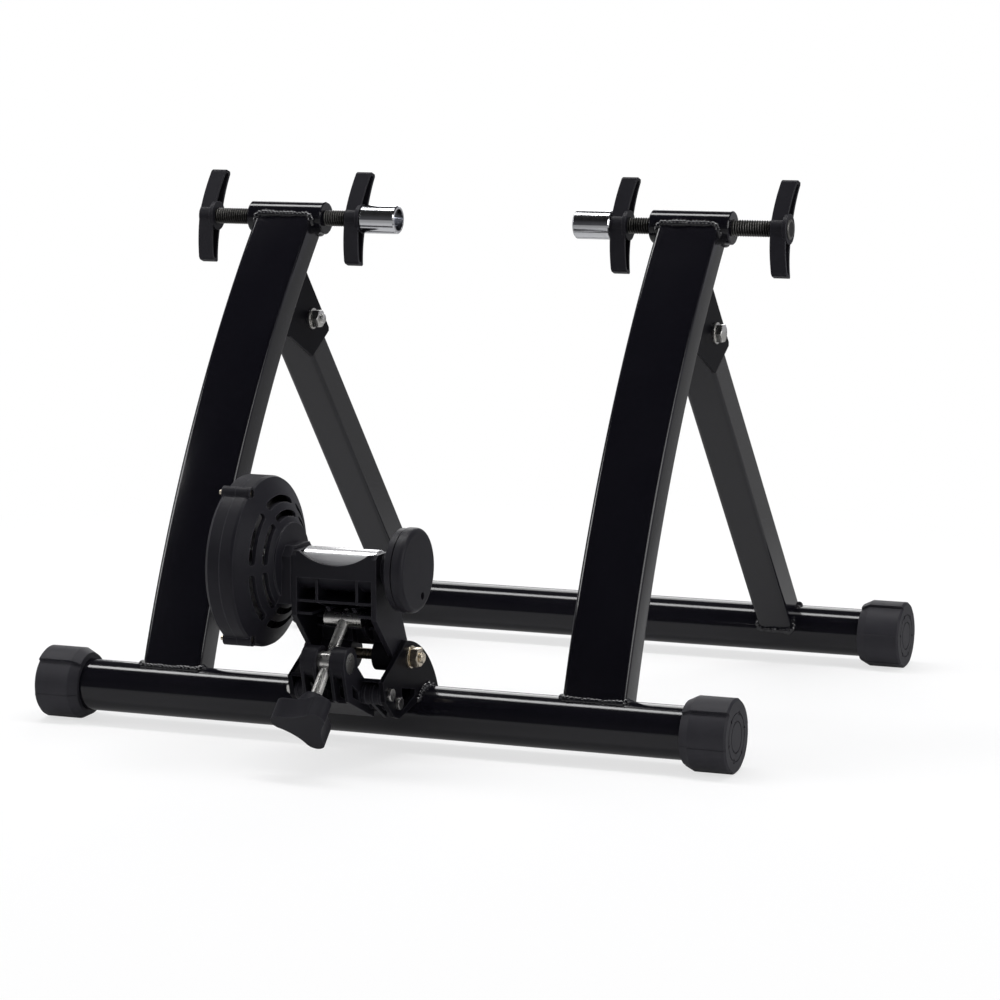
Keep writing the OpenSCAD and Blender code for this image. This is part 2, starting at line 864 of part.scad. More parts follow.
seam_x = -68;
brake_rim_x = -57;
brake_back_x = -80;
shell_t = 2.2;
lug_ring_r = 60;
cover_lug_r = 4.6;
cover_screw_r = 1.6;
vent_outer_r = 45;
vent_inner_r = 35;
vent_w = 5;
vent_arc = 45;
vent_end_step = 0.06;
boss_in_x = -carrier_out_x;
hub_r = 28.5;
cone_x = brake_rim_x + 14.6;
vent_far_x = cone_x + 7;
lug_angles = [0, 120, 240];

module lug_places() {
    for (a = lug_angles)
        translate([0, lug_ring_r * cos(a), lug_ring_r * sin(a)])
            children();
}

// Domed shell of the vented cover as a profile of radius and X
module inner_shell() {
    r = brake_r;
    polygon([[r, seam_x], [r, brake_rim_x - 3], [r - 0.9, brake_rim_x - 0.9], [r - 3, brake_rim_x],
        [hub_r + 1.5, cone_x], [hub_r, cone_x + 0.6], [hub_r, cone_x + 2], [16, cone_x + 3],
        [bearing_r + 1, cone_x + 3], [bearing_r + 1, cone_x + 3 - shell_t],
        [hub_r - 1.7, cone_x + 2 - shell_t], [hub_r - 0.7, cone_x - shell_t],
        [r - 4, brake_rim_x - shell_t], [r - shell_t, brake_rim_x - 3 - shell_t],
        [r - shell_t, seam_x]]);
}

// One ring of curved vent slots with round ends
module vent_ring(r, w) {
    for (k = [0 : vent_count - 1])
        rotate([360 / vent_count * (k + 0.5) - vent_arc / 2, 0, 0])
            union() {
                turn_x([0, 0], vent_arc)
                    translate([r - w / 2, brake_rim_x - 8])
                        square([w, vent_far_x - brake_rim_x + 8]);
                for (a = [0, vent_arc])
                    rod_x(brake_rim_x - 8, vent_far_x, w / 2 - vent_end_step, [r * cos(a), r * sin(a)]);
            }
}

module brake_inner_cover() {
    color(black_plastic)
        difference() {
            union() {
                turn_x(roller_axis)
                    inner_shell();
                translate([0, roller_axis[0], roller_axis[1]]) {
                    lug_places()
                        rod_x(seam_x, brake_rim_x, cover_lug_r, [0, 0]);
                }
                plate_x(cone_x - 2, boss_in_x)
                    difference() {
                        polygon([yz(-78, 112), yz(-78, 146), yz(-72, 152.5), yz(-47, 152.5),
                            yz(-41, 146), yz(-41, 112)]);
                        translate(roller_axis)
                            circle(r = bearing_r + 1);
                    }
            }
            translate([0, roller_axis[0], roller_axis[1]]) {
                vent_ring(vent_outer_r, vent_w);
                vent_ring(vent_inner_r, vent_w - 0.5);
                lug_places() {
                    rod_x(seam_x - 1, brake_rim_x + 1, cover_screw_r + seat, [0, 0]);
                    rod_x(brake_rim_x - 4, brake_rim_x + 1, 3, [0, 0]);
                }
                rod_x(seam_x - 1, brake_rim_x - shell_t - 3, brake_r - shell_t, [0, 0]);
            }
        }
}

module brake_outer_cover() {
    r = brake_r;
    color(black_plastic)
        difference() {
            union() {
                turn_x(roller_axis)
                    polygon([[0, brake_back_x], [r - 3, brake_back_x], [r, brake_back_x + 3],
                        [r, seam_x], [0, seam_x]]);
                translate([0, roller_axis[0], roller_axis[1]])
                    lug_places()
                        rod_x(brake_back_x + 1, seam_x, cover_lug_r, [0, 0]);
            }
            rod_x(brake_back_x + shell_t, seam_x + 1, r - shell_t, roller_axis);
            translate([0, roller_axis[0], roller_axis[1]])
                lug_places()
                    rod_x(brake_back_x - 1, seam_x + 1, cover_screw_r + seat, [0, 0]);
        }
}

module cover_screws() {
    color(bright)
        translate([0, roller_axis[0], roller_axis[1]])
            lug_places() {
                rod_x(brake_rim_x - 4, brake_rim_x - 1.8, 2.8, [0, 0]);
                rod_x(brake_back_x - 2, brake_rim_x - 4, cover_screw_r, [0, 0]);
            }
}

plate_r = 54;
magnet_r = 8;
magnet_ring_r = 42;
magnet_h = 5;
plate_x0 = brake_back_x + shell_t;
plate_t = 2;

module magnet_plate() {
    color(dark_steel)
        ring_x(plate_x0, plate_x0 + plate_t, plate_r, 12, roller_axis);
}

module magnets() {
    color(dark_steel)
        for (k = [0 : magnet_count - 1]) {
            a = 360 / magnet_count * k;
            rod_x(plate_x0 + plate_t, plate_x0 + plate_t + magnet_h, magnet_r,
                [roller_axis[0] + magnet_ring_r * cos(a), roller_axis[1] + magnet_ring_r * sin(a)]);
        }
}

rotor_x = plate_x0 + plate_t + magnet_h + 1;
rotor_t = 2.5;
rotor_r = 55;
rotor_hub_r = 11;

module rotor_disc() {
    color(bright)
        turn_x(roller_axis)
            polygon([[shaft_r + seat, rotor_x], [rotor_r, rotor_x], [rotor_r, rotor_x + rotor_t],
                [rotor_hub_r, rotor_x + rotor_t], [rotor_hub_r, rotor_x + 6],
                [shaft_r + seat, rotor_x + 6]]);
}

module rotor_nut() {
    color(bright)
        difference() {
            hex_x(rotor_x + 6, rotor_x + 10, 15, roller_axis);
            rod_x(rotor_x + 5, rotor_x + 11, shaft_r + seat, roller_axis);
        }
}

// Tension screw from the upper barrel down through the trunnion to the knob

screw_reach = [trunnion_axis[0] - upper_axis[0], trunnion_axis[1] - upper_axis[1]];
rod_angle = atan2(screw_reach[1], screw_reach[0]);
upper_r = 5.8;
upper_half = 14.4;
screw_r = 4;
screw_above = 6.5;
knob_mid = 88;
knob_t = 16;
knob_neck = 18;
lobe_r = 7.4;
lobe_reach = 23.8;
hollow_r = 34;
knob_core_r = 18.8;
knob_turn = 42;

// Places children with local Z running from the upper barrel down the screw
module along_screw() {
    translate([0, upper_axis[0], upper_axis[1]])
        rotate([rod_angle, 0, 0])
            rotate([-90, 0, 0])
                children();
}

module trunnion_barrel() {
    color(bright)
        difference() {
            rod_x(-trunnion_end_x, trunnion_end_x, trunnion_r, trunnion_axis);
            along_screw()
                cylinder(h = 80, r = screw_r + run);
        }
}

module upper_barrel() {
    color(bright)
        difference() {
            rod_x(-upper_half, upper_half, upper_r, upper_axis);
            along_screw()
                translate([0, 0, -20])
                    cylinder(h = 40, r = screw_r + run);
        }
}

module tension_screw() {
    color(bright)
        along_screw()
            translate([0, 0, -screw_above])
                cylinder(h = screw_above + knob_mid, r = screw_r);
}

// Three lobes joined by hollow sides that run tangent into them
module knob_outline() {
    lobe_at = lobe_reach - lobe_r;
    hollow_at = lobe_at * cos(180 / knob_lobes)
        + sqrt(pow(hollow_r + lobe_r, 2) - pow(lobe_at * sin(180 / knob_lobes), 2));
    difference() {
        circle(r = knob_core_r);
        for (k = [0 : knob_lobes - 1])
            rotate(360 / knob_lobes * (k + 0.5))
                translate([hollow_at, 0])
                    circle(r = hollow_r, $fn = 96);
    }
    for (k = [0 : knob_lobes - 1])
        rotate(360 / knob_lobes * k)
            translate([lobe_at, 0])
                circle(r = lobe_r);
}

module tension_knob() {
    top = knob_mid - knob_t / 2;
    color(black_plastic)
        along_screw()
            difference() {
                union() {
                    translate([0, 0, top])
                        rotate(knob_turn)
                            linear_extrude(knob_t)
                                knob_outline();
                    translate([0, 0, top - knob_neck + 8])
                        cylinder(h = knob_neck - 8, r1 = 8.2, r2 = 12.5);
                }
                translate([0, 0, top - knob_neck])
                    cylinder(h = knob_neck + knob_t / 2 + 0.3, r = screw_r + seat);
            }
}

// One line per node

crossbar(front_axis);  // front_crossbar
front_leg(-1);  // front_leg_left
front_leg(1);  // front_leg_right
clamp_tube(-1);  // clamp_tube_left
clamp_tube(1);  // clamp_tube_right
fold_bracket(-1);  // fold_bracket_left
fold_bracket(1);  // fold_bracket_right
fold_bolts();
fold_nuts();
fold_washers();
unit_bracket();
cradle();
cradle_screws();
cradle_nuts();
pivot_bolt();
pivot_nut();
pivot_washers();
foot(-1, front_axis, 132);  // front_foot_left
foot(1, front_axis, 132);  // front_foot_right
crossbar(rear_axis);  // rear_crossbar
rear_leg(-1);  // rear_leg_left
rear_leg(1);  // rear_leg_right
fold_bushes();
foot(-1, rear_axis, 112);  // rear_foot_left
foot(1, rear_axis, 112);  // rear_foot_right
axle_cup(-1);  // axle_cup_left
axle_cup(1);  // axle_cup_right
spindle(-1);  // spindle_left
spindle(1);  // spindle_right
outer_handle(-1);  // outer_handle_left
outer_handle(1);  // outer_handle_right
handle_nut();
lock_handle(-1);  // lock_handle_left
lock_handle(1);  // lock_handle_right
roller_carrier();
roller_bearings();
brake_inner_cover();
brake_outer_cover();
cover_screws();
magnet_plate();
magnets();
roller();
roller_shaft();
rotor_disc();
rotor_nut();
flywheel();
trunnion_barrel();
upper_barrel();
tension_screw();
tension_knob();
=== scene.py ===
from math import radians

import bmesh
import bpy
import numpy as np
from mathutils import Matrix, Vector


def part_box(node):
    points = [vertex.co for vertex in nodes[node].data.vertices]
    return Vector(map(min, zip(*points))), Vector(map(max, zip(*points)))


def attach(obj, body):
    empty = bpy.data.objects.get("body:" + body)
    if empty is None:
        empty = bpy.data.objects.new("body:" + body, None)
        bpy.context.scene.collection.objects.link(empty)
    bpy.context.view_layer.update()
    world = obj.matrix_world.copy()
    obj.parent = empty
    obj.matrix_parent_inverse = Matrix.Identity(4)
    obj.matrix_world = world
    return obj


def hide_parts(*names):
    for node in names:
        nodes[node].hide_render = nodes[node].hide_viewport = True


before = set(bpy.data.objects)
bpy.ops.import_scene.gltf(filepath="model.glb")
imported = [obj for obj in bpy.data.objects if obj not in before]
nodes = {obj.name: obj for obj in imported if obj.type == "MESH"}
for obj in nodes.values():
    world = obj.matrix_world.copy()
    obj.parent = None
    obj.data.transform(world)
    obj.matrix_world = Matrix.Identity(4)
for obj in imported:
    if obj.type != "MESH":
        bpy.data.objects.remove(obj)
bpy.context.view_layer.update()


# The studio: a pale floor under soft lamps, as a catalogue picture is taken.
# A long strip lamp hangs overhead and draws the narrow highlight along the painted tubes.
class Shade:
    """A value in the node tree of one material. Arithmetic on it adds Math nodes."""

    def __init__(self, tree, socket=None):
        self.tree = tree
        self.socket = socket

    def node(self, kind, settings=None, sockets=None, out=0):
        """Adds a node: its settings first, then its sockets by name or number."""
        made = self.tree.nodes.new("ShaderNode" + kind)
        for name, value in (settings or {}).items():
            setattr(made, name, value)
        for name, value in (sockets or {}).items():
            if isinstance(value, Shade):
                self.tree.links.new(value.socket, made.inputs[name])
            else:
                made.inputs[name].default_value = value
        return Shade(self.tree, made.outputs[out] if made.outputs else None)

    def math(self, operation, other):
        return self.node("Math", {"operation": operation}, {0: self, 1: other})

    def __add__(self, other):
        return self.math("ADD", other)

    __radd__ = __add__

    def __mul__(self, other):
        return self.math("MULTIPLY", other)

    __rmul__ = __mul__

    def __sub__(self, other):
        return self.math("SUBTRACT", other)

    def __rsub__(self, other):
        return self.node("Math", {"operation": "SUBTRACT"}, {0: other, 1: self})


def new_material(name):
    """An empty material, and the handle that adds nodes to it."""
    made = bpy.data.materials.new(name)
    made.use_nodes = True
    made.node_tree.nodes.clear()
    return made, Shade(made.node_tree)


def ramp(shade, value, start, stop, at_start, at_stop):
    """Runs from at_start to at_stop while the given value runs from start to stop."""
    return shade.node("MapRange", None, {0: value, 1: start, 2: stop, 3: at_start, 4: at_stop})


def blend_colour(shade, factor, first, second):
    """A colour between two, by a factor from 0 to 1."""
    first, second = (colour if isinstance(colour, Shade) else (*colour, 1)
                     for colour in (first, second))
    return shade.node("Mix", {"data_type": "RGBA"}, {0: factor, 6: first, 7: second}, 2)


def area_lamp(name, place, aim, size, power, depth=None):
    """A soft lamp, square or of the given depth, that points from place to aim."""
    lamp = bpy.data.objects.new(name, bpy.data.lights.new(name, "AREA"))
    lamp.data.shape = "RECTANGLE"
    lamp.data.size = size
    lamp.data.size_y = depth or size
    lamp.data.energy = power
    back = np.array(place) - np.array(aim)
    back = back / np.linalg.norm(back)
    side = np.cross([0, 1, 0] if abs(back[2]) > 0.9 else [0, 0, 1], back)
    side = side / np.linalg.norm(side)
    turn = np.eye(4)
    turn[:3, 0] = side
    turn[:3, 1] = np.cross(back, side)
    turn[:3, 2] = back
    turn[:3, 3] = place
    lamp.matrix_world = turn.T
    bpy.context.scene.collection.objects.link(lamp)


floor_half = 6.0
floor_mesh = bpy.data.meshes.new("floor")
floor_mesh.from_pydata(
    [(-floor_half, -floor_half, 0), (floor_half, -floor_half, 0),
     (floor_half, floor_half, 0), (-floor_half, floor_half, 0)],
    [], [(0, 1, 2, 3)])
floor = bpy.data.objects.new("floor", floor_mesh)
bpy.context.scene.collection.objects.link(floor)

# The floor keeps the shadow near the stand and fades to plain white further out.
floor_white, shade = new_material("floor white")
away = shade.node("VectorMath", {"operation": "LENGTH"},
                  {0: shade.node("TexCoord", out="Object")}, "Value")
fade = ramp(shade, away, 0.35, 1.1, 0.68, 1.0)
reflected = shade.node("LightPath", out="Is Glossy Ray")
seen = shade.node("LightPath", out="Is Camera Ray") + reflected
pale = shade.node("BsdfDiffuse", None, {"Color": (0.86, 0.86, 0.86, 1)})
lit = shade.node("Emission", None, {"Color": (1, 1, 1, 1), "Strength": 1 - reflected * 0.7})
shade.node("OutputMaterial", None,
           {"Surface": shade.node("MixShader", None, {0: seen * fade, 1: pale, 2: lit})})
floor.data.materials.append(floor_white)

# The backdrop is white to the camera. In reflections it darkens upwards and to the front.
world = bpy.data.worlds.new("studio")
bpy.context.scene.world = world
world.use_nodes = True
world.node_tree.nodes.clear()
shade = Shade(world.node_tree)
mirrored = shade.node("LightPath", out="Is Glossy Ray")
direct = (shade.node("LightPath", out="Is Camera Ray") + mirrored
          + shade.node("LightPath", out="Is Transmission Ray"))
way = shade.node("TexCoord", out="Generated")
rising = ramp(shade, shade.node("SeparateXYZ", None, {0: way}, "Z"), 0.22, 0.55, 1.0, 0.1)
behind = ramp(shade, shade.node("SeparateXYZ", None, {0: way}, "Y"), -0.1, 0.3, 0.05, 0.4)
brightness = shade.node("Mix", None, {0: mirrored, 2: 1.0, 3: rising * behind})
tint = blend_colour(shade, mirrored, (1, 1, 1), (0.93, 0.93, 1))
room = shade.node("Background", None, {"Color": (0.95, 0.95, 1, 1), "Strength": 0.40})
white = shade.node("Background", None, {"Color": tint, "Strength": brightness})
shade.node("OutputWorld", None,
           {"Surface": shade.node("MixShader", None, {0: direct, 1: room, 2: white})})

area_lamp("strip lamp", (-0.3, 0.2, 2.1), (-0.1, 0.05, 0.1), 3.0, 36, 0.45)
area_lamp("front lamp", (-2.2, -1.2, 1.5), (0, -0.1, 0.2), 1.0, 20)
area_lamp("right lamp", (2.4, -0.3, 1.0), (0, 0, 0.2), 1.2, 15)
area_lamp("rear lamp", (-0.8, 2.2, 1.3), (0, 0, 0.25), 1.4, 16)

# The camera looks from the front right, from a little above the handles, with a long lens.
front_low, front_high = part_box("front_crossbar")
front_axis_y = float(front_low[1] + front_high[1]) / 2
camera_pan = radians(22.384)
camera_tilt = radians(6.258)
camera = bpy.data.objects.new("camera", bpy.data.cameras.new("camera"))
camera.location = (1.0242, front_axis_y - 2.2558, 0.5235)
camera.rotation_euler = (radians(90) - camera_tilt, 0, camera_pan)
camera.data.sensor_width = 36.0
camera.data.lens = 125.16
camera.data.shift_x = -0.0012
camera.data.shift_y = -0.1027
camera.data.clip_end = 30.0
bpy.context.scene.collection.objects.link(camera)
bpy.context.scene.camera = camera
bpy.context.scene.view_settings.view_transform = "Standard"


# Base tubes, rear legs, clamp tubes and brackets: welded steel under one black powder coat.
# The coat is satin, with a faint orange peel and a painted highlight along its edges where it
# rounds over.
def dress(names, material):
    """Gives CAD nodes one material."""
    for name in names:
        mesh = nodes[name].data
        mesh.materials.clear()
        mesh.materials.append(material)


def surface_finish(shade, **sockets):
    """Joins a Principled shader to the output. Socket names have underscores for spaces."""
    surface = shade.node("BsdfPrincipled", None,
                         {name.replace("_", " "): value for name, value in sockets.items()})
    shade.node("OutputMaterial", None, {"Surface": surface})


def noise(shade, place, scale, detail=2.0, rough=0.5):
    """Noise from 0 to 1 of that many waves a metre."""
    return shade.node("TexNoise", None,
                      {"Vector": place, "Scale": scale, "Detail": detail, "Roughness": rough})


def soft_edges(shade, radius):
    """The normal, rounded over at sharp edges as paint and mouldings are."""
    return shade.node("Bevel", {"samples": 4}, {"Radius": radius})


def relief(shade, height, strength, depth, edge_radius=None):
    """The normal of a fine relief, over edges rounded to a radius where one is given."""
    sockets = {"Strength": strength, "Distance": depth, "Height": height}
    if edge_radius:
        sockets["Normal"] = soft_edges(shade, edge_radius)
    return shade.node("Bump", None, sockets)


def painted_edge_highlight(shade, radius, uneven):
    """Mask for a painted highlight along edges: 0 on faces, 1 on sharp edges, by how far the
    rounded normal leans from the face's.
    """
    lean = shade.node("VectorMath", {"operation": "DOT_PRODUCT"},
                      {0: soft_edges(shade, radius), 1: shade.node("NewGeometry", out="Normal")},
                      "Value")
    return ramp(shade, lean, 0.99, 0.82, 0.0, 1.0) * uneven


def coat(name, dark, light, smooth, gloss, peel_height=0.0004):
    """Powder coat from its darkest to its lightest colour, with clouds, orange peel and a painted
    highlight along edges.
    """
    made, shade = new_material(name)
    place = shade.node("TexCoord", out="Object")
    cloud = noise(shade, place, 16, 3)
    peel = noise(shade, place, 900, 2)
    edge = painted_edge_highlight(shade, 0.0012, 0.25 + cloud * 0.7)
    body = blend_colour(shade, cloud, dark, light)
    # The lighter colour along edges is a painted highlight, where light would catch the rounded
    # paint.
    surface_finish(shade, Base_Color=blend_colour(shade, edge, body, (0.035, 0.034, 0.042)),
                   Roughness=smooth + cloud * 0.07, Specular_IOR_Level=gloss,
                   Normal=relief(shade, peel, 0.05, peel_height, 0.0007))
    return made


powder_coat = coat("black powder coat", (0.0036, 0.0034, 0.0054), (0.0062, 0.006, 0.0085),
                   0.08, 0.5)
# The brackets get a darker, duller copy of the same coat: its darker colours are painted shade, as
# the brackets sit in shadow.
shaded_bracket_coat = coat("bracket powder coat darkened as shade", (0.0030, 0.0029, 0.0042), (0.0052, 0.005, 0.0068),
                    0.34, 0.04)
dress(["front_crossbar", "rear_crossbar", "rear_leg_left", "rear_leg_right", "clamp_tube_left",
       "clamp_tube_right"], powder_coat)
dress(["fold_bracket_left", "fold_bracket_right", "unit_bracket"], shaded_bracket_coat)


# Front legs: rectangular steel tube rolled to one arc and coped on both round tubes.
# Its long edges have the corner radius of drawn tube, under the same powder coat.
def strip_faces(rows, columns):
    """Quads of a grid whose columns close round, as an array of corner numbers."""
    row = np.arange(rows - 1)[:, None] * columns
    column = np.arange(columns)[None, :]
    after = (column + 1) % columns
    return np.stack([row + column, row + after, row + columns + after, row + columns + column],
                    axis=-1).reshape(-1, 4)


def ring_surface(name, runs, material, ends=True):
    """A mesh from one or more runs of rings of points, each run closed round and capped."""
    points, faces = [], []
    start = 0
    for run in runs:
        rows, columns = run.shape[:2]
        faces.extend((strip_faces(rows, columns) + start).tolist())
        if ends:
            faces.append(list(range(start, start + columns)))
            faces.append(list(range(start + (rows - 1) * columns, start + rows * columns)))
        points.append(run.reshape(-1, 3))
        start += rows * columns
    mesh = bpy.data.meshes.new(name)
    mesh.from_pydata(np.concatenate(points).tolist(), [], faces)
    shape = bmesh.new()
    shape.from_mesh(mesh)
    bmesh.ops.remove_doubles(shape, verts=shape.verts, dist=1e-7)
    bmesh.ops.recalc_face_normals(shape, faces=shape.faces)
    shape.to_mesh(mesh)
    shape.free()
    mesh.shade_smooth()
    mesh.set_sharp_from_angle(angle=radians(38))
    mesh.materials.append(material)
    piece = bpy.data.objects.new(name, mesh)
    bpy.context.scene.collection.objects.link(piece)
    return piece


def round_section(width, depth, corner, steps=7):
    """Outline of a rectangle with quarter circle corners, as pairs across and along its depth."""
    turn = np.linspace(0, np.pi / 2, steps)
    quarter = np.arange(4)[:, None] * np.pi / 2
    signs = np.array([[1, 1], [-1, 1], [-1, -1], [1, -1]])
    across = signs[:, :1] * (width / 2 - corner) + corner * np.cos(turn + quarter)
    along = signs[:, 1:] * (depth / 2 - corner) + corner * np.sin(turn + quarter)
    return np.stack([across.ravel(), along.ravel()], axis=1)


def box_middle(name):
    """The middle of a CAD node's box."""
    low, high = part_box(name)
    return (np.array(low) + np.array(high)) / 2


tube_axis = box_middle("front_crossbar")[1:]
clamp_axis = box_middle("clamp_tube_left")[1:]
arc_centre = tube_axis + np.array([0.9282, -0.3215])
arc_radius = 0.9810
leg_section = round_section(0.048, 0.0254, 0.0035)
foot_inset = 0.010
top_inset = 0.0045


def arc_angle(point):
    """Angle of a point of the side view about the arc's centre, from the forward direction up."""
    return np.arctan2(point[1] - arc_centre[1], arc_centre[0] - point[0])


foot_angle = arc_angle(tube_axis)
top_angle = arc_angle(clamp_axis)


def leg_rings(middle_x):
    """P(s, t) = centre + (R + d(t)) (-cos s, sin s) in the side view, and X = middle + w(t)."""
    turn = np.linspace(foot_angle + foot_inset / arc_radius, top_angle - top_inset / arc_radius,
                       90)[:, None]
    radius = arc_radius + leg_section[:, 1]
    across = np.broadcast_to(middle_x + leg_section[:, 0], (len(turn), len(leg_section)))
    return np.stack([across, arc_centre[0] - radius * np.cos(turn),
                     arc_centre[1] + radius * np.sin(turn)], axis=-1)


for side in ("left", "right"):
    leg = ring_surface("curved_leg_" + side, [leg_rings(box_middle("front_leg_" + side)[0])],
                       powder_coat)
    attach(leg, "base_frame")
    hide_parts("front_leg_" + side)


# Weld beads: the maker runs one MIG bead round each leg where it stands on a round tube.
# A bead is a low ripple of overlapping pools, uneven from hand work, and painted with the frame.
tube_radius = 0.019
clamp_radius = 0.0127
bead_radius = 0.0027
pool_spacing = 0.0031
bead_coat = coat("weld powder coat", (0.004, 0.0038, 0.0056), (0.007, 0.0068, 0.009), 0.05, 0.8,
                 0.0012)


def even_path(points, spacing, closed):
    """The same path in even steps, with the distance walked at each and in all."""
    if closed:
        points = np.vstack([points, points[:1]])
    walked = np.concatenate([[0], np.cumsum(np.linalg.norm(np.diff(points, axis=0), axis=1))])
    total = walked[-1]
    at = np.linspace(0, total, int(total / spacing), endpoint=not closed)
    return np.stack([np.interp(at, walked, points[:, k]) for k in range(3)], axis=1), at, total


def bead_surface(name, path, seed, closed=True, around=16):
    """P(s, a) = path(s) + r(s) (cos a n + sin a b), a pipe whose radius swells with each pool.

    r(s) = R (0.8 + 0.3 |sin(pi s / pool)| + three slow waves), tapered at the ends if open.
    """
    path, walked, total = even_path(path, 0.0004, closed)
    if closed:
        ahead = np.roll(path, -2, axis=0) - np.roll(path, 2, axis=0)
    else:
        ahead = np.gradient(path, axis=0)
    ahead = ahead / np.linalg.norm(ahead, axis=1)[:, None]
    out = path - path.mean(axis=0)
    out = out - (out * ahead).sum(axis=1)[:, None] * ahead
    out = out / np.linalg.norm(out, axis=1)[:, None]
    up = np.cross(ahead, out)
    phase = 2 * np.pi * walked / total
    uneven = (0.12 * np.sin(3 * phase + seed) + 0.11 * np.sin(8 * phase + 2.3 * seed)
              + 0.07 * np.sin(19 * phase + 4.1 * seed))
    pools = np.pi * np.round(total / pool_spacing) / total * walked
    size = bead_radius * (0.8 + 0.3 * np.abs(np.sin(pools)) + uneven)
    if not closed:
        size = size * np.sqrt(np.clip(np.minimum(walked, total - walked) / 0.002, 0.02, 1))
    angle = np.linspace(0, 2 * np.pi, around, endpoint=False)
    points = (path[:, None, :] + size[:, None, None]
              * (np.cos(angle)[None, :, None] * out[:, None, :]
                 + np.sin(angle)[None, :, None] * up[:, None, :]))
    if closed:
        points = np.concatenate([points, points[:1]])
    return ring_surface(name, [points], bead_coat, ends=not closed)


def meet_tube(rails, axis, radius):
    """Where each rail first comes to the surface of a tube along X, between two of its steps."""
    away = np.linalg.norm(rails - axis, axis=-1)
    step = np.argmax(away <= radius, axis=1)
    rail = np.arange(len(rails))
    before, after = away[rail, step - 1], away[rail, step]
    share = ((before - radius) / (before - after))[:, None]
    return rails[rail, step - 1] + share * (rails[rail, step] - rails[rail, step - 1])


def arc_rails(start, end):
    """The lines of a front leg's outline in the side view, between two angles of its arc."""
    turn = np.linspace(start, end, 400)
    radius = arc_radius + leg_section[:, 1:]
    return np.stack([arc_centre[0] - radius * np.cos(turn),
                     arc_centre[1] + radius * np.sin(turn)], axis=-1)


def straight_rails(start, end, section, reach):
    """The lines of a straight leg's outline in the side view, over its last length to its end."""
    along = (end - start) / np.linalg.norm(end - start)
    across = np.array([-along[1], along[0]])
    walked = np.linspace(-reach, 0, 400)[None, :, None]
    return end + walked * along + section[:, 1, None, None] * across


rear_axis = box_middle("rear_crossbar")[1:]
fold_axis = box_middle("fold_bushes")[1:]
rear_section = round_section(0.0287, 0.0274, 0.003)
arc_reach = 0.06
straight_reach = 0.08
foot_rails = arc_rails(foot_angle + arc_reach, foot_angle)
top_rails = arc_rails(top_angle - arc_reach, top_angle)
rear_rails = straight_rails(fold_axis, rear_axis, rear_section, straight_reach)
foot_meeting = meet_tube(foot_rails, tube_axis, tube_radius)
top_meeting = meet_tube(top_rails, clamp_axis, clamp_radius)
rear_meeting = meet_tube(rear_rails, rear_axis, tube_radius)


def weld_leg(name, leg_name, section, meeting, body, seed):
    """A bead round one leg, where the lines of its outline meet a tube."""
    path = np.column_stack([box_middle(leg_name)[0] + section[:, 0], meeting])
    bead = bead_surface(name, path, seed)
    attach(bead, body)


for side, seed in (("left", 1.0), ("right", 2.0)):
    weld_leg("weld_leg_foot_" + side, "front_leg_" + side, leg_section, foot_meeting,
             "base_frame", seed)
    weld_leg("weld_leg_top_" + side, "front_leg_" + side, leg_section, top_meeting,
             "base_frame", seed + 2.0)
for side, seed in (("left", 5.0), ("right", 6.0)):
    weld_leg("weld_rear_leg_" + side, "rear_leg_" + side, rear_section, rear_meeting,
             "rear_frame", seed)

bracket_low, bracket_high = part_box("unit_bracket")
over_tube = np.radians(np.linspace(4, 150, 60))
for side, face, seed in (("left", bracket_low[0], 7.0), ("right", bracket_high[0], 8.0)):
    path = np.stack([np.full_like(over_tube, face), tube_axis[0] + tube_radius * np.cos(over_tube),
                     tube_axis[1] + tube_radius * np.sin(over_tube)], axis=1)
    bead = bead_surface("weld_bracket_" + side, path, seed, closed=False)
    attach(bead, "base_frame")


# Rubber feet: moulded caps whose stepped outline levels the stand when they are turned.
# The rubber is dull, with a fine grain and a trace of dust.
foot_rubber, shade = new_material("foot rubber")
place = shade.node("TexCoord", out="Object")
dust = noise(shade, place, 60, 5, 0.6)
grain = noise(shade, place, 1800, 2)
dusty = blend_colour(shade, dust, (0.017, 0.0165, 0.021), (0.031, 0.030, 0.036))
surface_finish(shade, Base_Color=dusty, Roughness=0.48 + dust * 0.16, Specular_IOR_Level=0.25,
               Normal=relief(shade, grain, 0.12, 0.0004, 0.0006))
dress(["front_foot_left", "front_foot_right", "rear_foot_left", "rear_foot_right"], foot_rubber)


# Moulded parts: carrier, cradle, brake covers, handles and knob in black glass-filled nylon.
# The surface is a fine spark-eroded satin, with a painted highlight along its rounded edges.
nylon, shade = new_material("black nylon")
place = shade.node("TexCoord", out="Object")
flow = noise(shade, place, 35, 4, 0.6)
grain = noise(shade, place, 2600, 1)
edge = painted_edge_highlight(shade, 0.0009, 0.35 + flow)
body = blend_colour(shade, flow, (0.0085, 0.008, 0.011), (0.0155, 0.015, 0.0195))
# The lighter colour along edges is a painted highlight on the mouldings' rounded edges.
surface_finish(shade, Base_Color=blend_colour(shade, edge, body, (0.055, 0.054, 0.062)),
               Roughness=0.36 + flow * 0.16 - edge * 0.12, Specular_IOR_Level=0.16,
               Normal=relief(shade, grain, 0.16, 0.0003, 0.0006))
dress(["cradle", "outer_handle_left", "outer_handle_right", "lock_handle_left",
       "lock_handle_right", "roller_carrier", "brake_inner_cover", "brake_outer_cover",
       "tension_knob"], nylon)


# Flywheel: a cast disc turned all over and painted satin black.
# Turning leaves fine rings round its axis under the paint.
def round_axis(shade, place, axis):
    """Distance of a place from the line through axis along X."""
    apart = shade.node("VectorMath", {"operation": "SUBTRACT"}, {0: place, 1: (0, *axis)})
    flat = shade.node("VectorMath", {"operation": "MULTIPLY"}, {0: apart, 1: (0, 1, 1)})
    return shade.node("VectorMath", {"operation": "LENGTH"}, {0: flat}, "Value")


